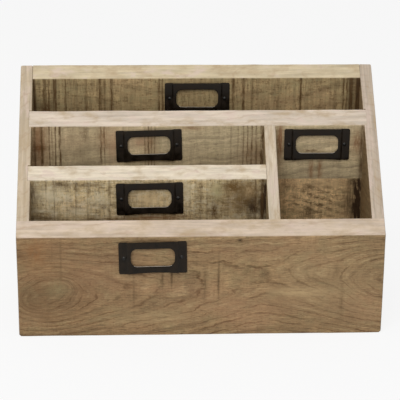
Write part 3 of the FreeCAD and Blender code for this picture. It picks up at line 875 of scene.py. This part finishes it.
REAR_LOWER_PATCHES = (
    ((100, 140), (9, 12), 0.6, SAW_MARK_AND_SHADE),
    ((146, 143), (26, 9), 0.7, LIGHT_TAN),
    ((128, 137), (8, 4), 0.8, SAW_MARK_AND_SHADE),
    ((128, 106), (8, 7), 0.7, SAW_MARK_AND_SHADE),
    # These last three darken the right end, next to the right side: painted shade.
    ((173, 120), (5, 22), 0.7, SAW_MARK_AND_SHADE),
    ((188, 118), (11, 40), 1.7, STAIN_AND_SHADE),
    ((182, 144), (10, 5), 0.9, STAIN_AND_SHADE),
)

# Where the saw chattered: lean and spacing of the rows, then the place, size and strength of the area.
REAR_LOWER_CHATTER = (0.4, 9, (138, 120), (36, 24), 0.88)

# Upright stains on the boards: place, half width and strength. The streaks at both ends of the back, next to
# the sides, are stain and painted corner shade, and the last streak of the rear divider is painted shade
# along its right end.
BACK_STREAKS = (
    # The first and the last streak, next to the sides, are stain and painted corner shade.
    (-188, 3, 1.0), (-176, 3, 0.9), (-171, 2, 0.7), (-164, 3, 1.0), (-152, 2, 0.7), (-142, 3, 0.35),
    (-128, 3, 0.5), (-112, 3, 0.7), (-107, 2, 0.5), (-99, 2.5, 0.9), (-69, 3, 0.2), (-44, 2, 0.8),
    (-40, 2, 0.7), (42, 3, 0.8), (54, 3, 0.7), (64, 3, 0.4), (93, 5, 0.35), (120, 2.5, 0.9), (160, 4, 0.3),
    (170, 2, 0.7), (174, 2, 0.7), (179, 3, 1.0), (187, 4, 1.0),
)
REAR_STREAKS = (
    (-186, 2.5, 0.6), (-178, 2.5, 0.8), (-169.5, 1.5, 0.7), (-166, 1.5, 0.5), (-162.5, 1.5, 0.7),
    (-157.5, 2.5, 0.9), (-111, 2, 0.6), (-107, 1.5, 0.5), (-61, 1.5, 0.5), (-57, 1.5, 0.7),
    (-53.5, 1.5, 0.6), (-50, 1.5, 0.6), (37, 1.5, 0.4), (45, 1.5, 0.4), (51, 1.8, 0.5), (56, 1.8, 0.6),
    # The last streak is painted shade along the right end, next to the right side.
    (61, 1.8, 0.65), (66, 2, 0.6), (73, 3.5, 1.0), (187, 5, 0.5),
)
FRONT_DIVIDER_STREAKS = (
    (-172, 1.5, 0.4), (-163, 1.5, 0.4), (-139, 2, 0.4), (-126, 2, 0.4), (-101, 3, 0.4), (1, 2, 0.4),
    (8, 1.5, 0.4), (14, 2, 0.4), (62, 3, 0.6), (70, 3, 0.9),
)

# The wood of each board: name, axis of the grain, seed, tones of faces and top edge, pith and what differs.
LOOKS = {
    "front_panel": Look(
        "front_panel_mango", "X", 1.3, PLANED, colour(214, 194, 172), FRONT_PITH, saw=0.1, mottle=0.3,
        fibre=0.28, lines=0.78, sway=10, torn=0.16, knots=FRONT_KNOTS, patches=FRONT_PATCHES,
    ),
    "left_side": Look(
        "left_side_mango", "Y", 4.1, colour(160, 138, 104), colour(204, 186, 160), LEFT_PITH, saw=0.2,
        mottle=0.3, fibre=0.2, lines=0.5,
    ),
    "right_side": Look(
        "right_side_mango", "Y", 9.7, colour(156, 134, 100), colour(202, 185, 165), RIGHT_PITH, saw=0.2,
        mottle=0.3, fibre=0.2, lines=0.5, patches=RIGHT_SIDE_INNER_SHADE,
    ),
    "back_panel_lower_plank": Look(
        "back_lower_mango", "X", 12.2, SAWN, colour(218, 202, 170), BACK_LOWER_PITH, saw=0.4, lines=0.35,
        torn=0.35,
    ),
    "back_panel_upper_plank": Look(
        "back_upper_mango", "X", 15.8, colour(163, 140, 100), colour(215, 198, 165), BACK_UPPER_PITH,
        saw=0.5, saw_length=14, mottle_size=(16, 9), torn=0.5, patches=BACK_PATCHES, streaks=BACK_STREAKS,
    ),
    "rear_divider_lower_plank": Look(
        "rear_lower_mango", "X", 19.5, colour(229, 193, 142), colour(218, 202, 180), REAR_LOWER_PITH,
        saw=0.4, saw_length=10, mottle_size=(10, 7), torn=0.4, patches=REAR_LOWER_PATCHES,
        chatter=REAR_LOWER_CHATTER,
    ),
    "rear_divider_upper_plank": Look(
        "rear_upper_mango", "X", 23.1, colour(198, 178, 141), colour(221, 205, 186), REAR_UPPER_PITH,
        saw=0.22, mottle=0.3, fibre=0.16, torn=0.25, patches=REAR_UPPER_PATCHES, streaks=REAR_STREAKS,
    ),
    "front_divider": Look(
        "front_divider_mango", "X", 27.9, colour(199, 176, 132), colour(233, 219, 196), FRONT_DIVIDER_PITH,
        saw=0.5, saw_length=8, mottle=0.65, mottle_size=(10, 6), pale=PALE, softness=0.05, torn=0.55,
        patches=FRONT_DIVIDER_PATCHES, streaks=FRONT_DIVIDER_STREAKS,
    ),
    "cross_divider": Look("cross_divider_mango", "Y", 31.4, SAWN, colour(218, 202, 179), CROSS_PITH),
    "bottom_board": Look(
        "bottom_mango", "X", 35.6, colour(156, 132, 98), colour(160, 138, 106), BOTTOM_PITH, saw=0.2,
        lines=0.4,
    ),
}


def make_boards():
    """All boards, with the housings and nail holes that they have."""
    noise.seed_set(SWAY_SEED)
    boards = {}
    for node, (slot, sharp) in BOARDS.items():
        boards[node] = make_board(node, Wood(LOOKS[node]).dressed(), sharp)
    rear = housing("rear_divider_lower_plank", "rear_divider_upper_plank")
    front = housing("front_divider")
    cut(boards["left_side"], [rear, front] + nail_holes("left_side"))
    cut(boards["right_side"], [rear] + nail_holes("right_side"))
    for board in boards.values():
        smooth(board)


def arch(x, half, corner):
    """How far a rounded end of so long a half length and corner radius falls back at x."""
    past = abs(x) - (half - corner)
    return corner - math.sqrt(max(corner ** 2 - past ** 2, 0)) if past > 0 else 0


def rise_at(x):
    """How far the sheet of a label holder stands off the board at x: flat tabs, a bend, a raised middle."""
    share = min(max((TAB_INNER - abs(x)) / BEND_RUN, 0), 1)
    return HOLDER_RISE * share * share * (3 - 2 * share)


def sheet_columns(half_width):
    """Places across a label holder where its sheet gets a line: round its corners, bends and window."""
    turns = [math.sin(math.radians(angle)) for angle in CORNER_TURNS]
    places = [half_width - HOLDER_CORNER + HOLDER_CORNER * turn for turn in turns]
    places += [TAB_INNER - BEND_RUN * i / BEND_STEPS for i in range(BEND_STEPS + 1)]
    places += [WINDOW_HALF_WIDTH - WINDOW_CORNER + WINDOW_CORNER * turn for turn in turns]
    places += [*PLAIN_COLUMNS, half_width - TAB_COLUMN_INSET]
    right = sorted({round(place, COLUMN_DIGITS) for place in places})
    return [-x for x in reversed(right[1:])] + right


def sheet_levels(x, half_width, half_height):
    """Heights where a column of the sheet gets a line: up to the window's sill, then from its top on."""
    top = half_height - arch(x, half_width, HOLDER_CORNER)
    bottom = -top
    if abs(x) < TAB_INNER:
        bottom += HOLDER_WAIST * (1 - (x / TAB_INNER) ** 2)
    fall = arch(min(abs(x), WINDOW_HALF_WIDTH), WINDOW_HALF_WIDTH, WINDOW_CORNER)
    sill, lintel = WINDOW_BOTTOM + fall, WINDOW_TOP - fall
    below = [bottom + (sill - bottom) * i / SHEET_ROWS for i in range(SHEET_ROWS + 1)]
    above = [lintel + (top - lintel) * i / SHEET_ROWS for i in range(SHEET_ROWS + 1)]
    return below + above


def holder_sheet(half_width, half_height):
    """The sheet of a label holder before it gets its gauge, in millimetres, and which corners carry the
    painted highlight on its sill.
    """
    columns = sheet_columns(half_width)
    corners = []
    wear = []
    for x in columns:
        for row, z in enumerate(sheet_levels(x, half_width, half_height)):
            corners.append(Vector((x, -rise_at(x), z)))
            # The row along the window's sill is marked, under the name of wear, for light uncoated steel: a
            # painted highlight.
            wear.append(float(row == SHEET_ROWS and abs(x) < SILL_HIGHLIGHT_HALF_WIDTH))
    rows = 2 * SHEET_ROWS + 2
    faces = []
    for column in range(len(columns) - 1):
        middle = abs(columns[column] + columns[column + 1]) / 2
        for row in range(rows - 1):
            if row == SHEET_ROWS and middle < WINDOW_HALF_WIDTH:
                continue
            first = column * rows + row
            faces.append((first, first + rows, first + rows + 1, first + 1))
    return corners, faces, wear


def label_place(label):
    """Where a label holder's middle touches its board, turned by its tilt, for a shape in millimetres."""
    low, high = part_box(f"{label}_label_holder")
    middle = Vector(((low.x + high.x) / 2, high.y, (low.z + high.z) / 2))
    tilt = Matrix.Rotation(-math.radians(LABEL_TILTS[label]), 4, "Y")
    return Matrix.Translation(middle) @ tilt @ Matrix.Scale(MM, 4)


def make_label_holder(label, material):
    """A pressed label holder in place of its node: a sheet that gets its gauge and rolled edges."""
    low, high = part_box(STRAIGHT_HOLDER)
    half = (high - low) / 2 / MM
    corners, faces, wear = holder_sheet(half.x, half.z)
    place = label_place(label)
    corners = [place @ corner for corner in corners]
    node = f"{label}_label_holder"
    holder = new_piece(f"{label}_label_frame", corners, faces, material, node)
    # The marks on the sill carry the painted highlight there.
    mark_wear_and_highlight(holder, wear)
    gauge = holder.modifiers.new("gauge", "SOLIDIFY")
    gauge.thickness = HOLDER_GAUGE * MM
    gauge.offset = 1
    gauge.use_even_offset = True
    roll = holder.modifiers.new("edge", "BEVEL")
    roll.width = ROLL_WIDTH * MM
    roll.segments = ROLL_SEGMENTS
    roll.angle_limit = ROLL_ANGLE
    smooth(holder)


def pin_mesh(middle):
    """Corners and faces of one pin that goes into the board at a place along a label holder."""
    ends = (PIN_CROWN, PIN_POINT)
    corners = [Vector((middle, depth - HOLDER_GAUGE, 0)) for depth in ends]
    for radius, depth in PIN_PROFILE:
        for side in range(PIN_SIDES):
            turn = 2 * math.pi * side / PIN_SIDES
            x = middle + radius * math.cos(turn)
            corners.append(Vector((x, depth - HOLDER_GAUGE, radius * math.sin(turn))))
    first = len(ends)
    last = first + (len(PIN_PROFILE) - 1) * PIN_SIDES
    faces = []
    for side in range(PIN_SIDES):
        beside = (side + 1) % PIN_SIDES
        faces.append((0, first + side, first + beside))
        faces.append((1, last + beside, last + side))
        for ring in range(first, last, PIN_SIDES):
            below = ring + PIN_SIDES
            faces.append((ring + side, below + side, below + beside, ring + beside))
    return corners, faces


def make_label_pins(label, material):
    """The two pins of a label holder in place of their node."""
    corners = []
    faces = []
    for middle in (-PIN_SPACING / 2, PIN_SPACING / 2):
        pin_corners, pin_faces = pin_mesh(middle)
        start = len(corners)
        corners.extend(pin_corners)
        faces.extend(tuple(start + number for number in face) for face in pin_faces)
    place = label_place(label)
    corners = [place @ corner for corner in corners]
    node = f"{label}_label_pins"
    smooth(new_piece(f"{label}_label_tacks", corners, faces, material, node))


# The size of the uneven patches in the black paint, in millimetres, and the light uncoated steel that paints
# a highlight along the window's sill.
PAINT_PATCH = 7
SILL_HIGHLIGHT_STEEL = colour(226, 222, 214)


def black_lacquer():
    """Satin black paint on pressed steel, a little uneven, with light uncoated steel along the window's sill
    as a painted highlight.
    """
    shade = Shade("black_lacquer")
    clouds = shade.noise(shade.millimetres(), 4.0, 0.6)
    patches = shade.noise(shade.scaled(shade.millimetres(), 1 / PAINT_PATCH), 3.0, 0.6)
    paint = shade.ramp(patches, [(0.35, colour(11, 8, 5)), (0.65, colour(30, 23, 16))])
    # Light uncoated steel along the window's sill, from the marks kept there: a painted highlight.
    sill_highlight = shade.spread(shade.attribute("wear"), 0.88, 0.98)
    return shade.finish(
        Base_Color=shade.blend(sill_highlight, paint, SILL_HIGHLIGHT_STEEL),
        Metallic=sill_highlight,
        Roughness=shade.spread(patches, 0.35, 0.65, 0.3, 0.56),
        Specular_IOR_Level=0.22,
        Specular_Tint=colour(255, 242, 228),
        Normal=shade.bump(clouds, 0.12, 0.1 * MM),
    )


def steel(name, dark, light, metallic, smoothest, roughest):
    """Plain steel, a little lighter and duller in places."""
    shade = Shade(name)
    clouds = shade.noise(shade.millimetres(), 3.0, 0.6)
    return shade.finish(
        Base_Color=shade.ramp(clouds, [(0.35, dark), (0.7, light)]),
        Metallic=metallic,
        Roughness=shade.spread(clouds, 0.3, 0.7, smoothest, roughest),
    )


def make_labels():
    """All label holders, lacquered, and their blackened pins."""
    lacquer = black_lacquer()
    blackened = steel("blackened_steel", colour(26, 25, 24), colour(54, 52, 50), 0.8, 0.3, 0.44)
    for label in LABEL_TILTS:
        make_label_holder(label, lacquer)
        make_label_pins(label, blackened)


def dress_brads():
    """Bare, dulled wire for the brads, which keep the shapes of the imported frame."""
    wire = steel("brad_wire", colour(96, 92, 88), colour(136, 132, 126), 0.9, 0.35, 0.55)
    for node in (*SIDE_BRADS, FRONT_BRADS):
        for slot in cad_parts[node].material_slots:
            slot.material = wire


# The background's brightness, the even light on the object, and how much of the floor's look is background.
BACKGROUND = 0.94
AMBIENT = 0.46
FLOOR_GLOW = 0.86
FLOOR_SIZE = 12
FLOOR_GREY = 0.85

# The lamp: its place, its target and its width in metres, and its power in watts.
LAMP_PLACE = Vector((-0.5, -1.35, 1.75))
LAMP_TARGET = Vector((0, 0, 0.12))
LAMP_WIDTH = 1.3
LAMP_POWER = 22

# The photograph's view: place in metres, turn in degrees, lens and width of the sensor in millimetres.
CAMERA_PLACE = (-0.076436, -1.651118, 0.765315)
CAMERA_TURN = (69.0076, -0.5088, -2.5001)
CAMERA_LENS = 139.707
SENSOR_WIDTH = 36


def ray_share(nodes, links):
    """1 where the camera, a reflection or glass sees a surface, else 0."""
    rays = nodes.new("ShaderNodeLightPath")
    seen = rays.outputs["Is Camera Ray"]
    for kind in ("Is Glossy Ray", "Is Transmission Ray"):
        either = nodes.new("ShaderNodeMath")
        either.operation = "MAXIMUM"
        links.new(seen, either.inputs[0])
        links.new(rays.outputs[kind], either.inputs[1])
        seen = either.outputs[0]
    return seen


def make_floor():
    """A plain pale floor that shows mostly as background and keeps the object's shadow."""
    half = FLOOR_SIZE / 2
    corners = [(-half, -half, 0), (half, -half, 0), (half, half, 0), (-half, half, 0)]
    mesh = bpy.data.meshes.new("floor")
    mesh.from_pydata(corners, [], [(0, 1, 2, 3)])
    shade = Shade("floor_paper")
    paper = shade.finish(Base_Color=grey(FLOOR_GREY), Roughness=0.9, Specular_IOR_Level=0.1)
    mesh.materials.append(paper)
    glow = shade.times(ray_share(shade.nodes, shade.links), FLOOR_GLOW)
    light = shade.nodes.new("ShaderNodeEmission")
    light.inputs["Strength"].default_value = 1
    both = shade.node("MixShader", (glow, shade.surface.outputs[0], light.outputs[0]))
    shade.links.new(both.outputs[0], shade.nodes["Material Output"].inputs["Surface"])
    floor = bpy.data.objects.new("floor", mesh)
    bpy.context.collection.objects.link(floor)


def make_world():
    """Even studio light, with a pale background where the camera or a reflection sees it."""
    world = bpy.data.worlds.new("studio")
    bpy.context.scene.world = world
    world.use_nodes = True
    nodes, links = world.node_tree.nodes, world.node_tree.links
    strength = nodes.new("ShaderNodeMapRange")
    links.new(ray_share(nodes, links), strength.inputs["Value"])
    strength.inputs["To Min"].default_value = AMBIENT
    strength.inputs["To Max"].default_value = BACKGROUND
    background = nodes["Background"]
    background.inputs["Color"].default_value = grey(1)
    links.new(strength.outputs[0], background.inputs["Strength"])


def make_lamp():
    """One soft square lamp above the front, at the left."""
    data = bpy.data.lights.new("key", "AREA")
    data.size = LAMP_WIDTH
    data.energy = LAMP_POWER
    lamp = bpy.data.objects.new("key", data)
    lamp.location = LAMP_PLACE
    lamp.rotation_euler = (LAMP_TARGET - LAMP_PLACE).to_track_quat("-Z", "Y").to_euler()
    bpy.context.collection.objects.link(lamp)


def make_camera():
    """The camera that shows the photograph's view."""
    data = bpy.data.cameras.new("camera")
    data.sensor_width = SENSOR_WIDTH
    data.lens = CAMERA_LENS
    camera = bpy.data.objects.new("camera", data)
    camera.location = CAMERA_PLACE
    camera.rotation_euler = [math.radians(turn) for turn in CAMERA_TURN]
    bpy.context.collection.objects.link(camera)
    bpy.context.scene.camera = camera


make_boards()
make_labels()
dress_brads()
make_floor()
make_world()
make_lamp()
make_camera()
bpy.context.scene.view_settings.view_transform = "Standard"

bpy.context.view_layer.update()
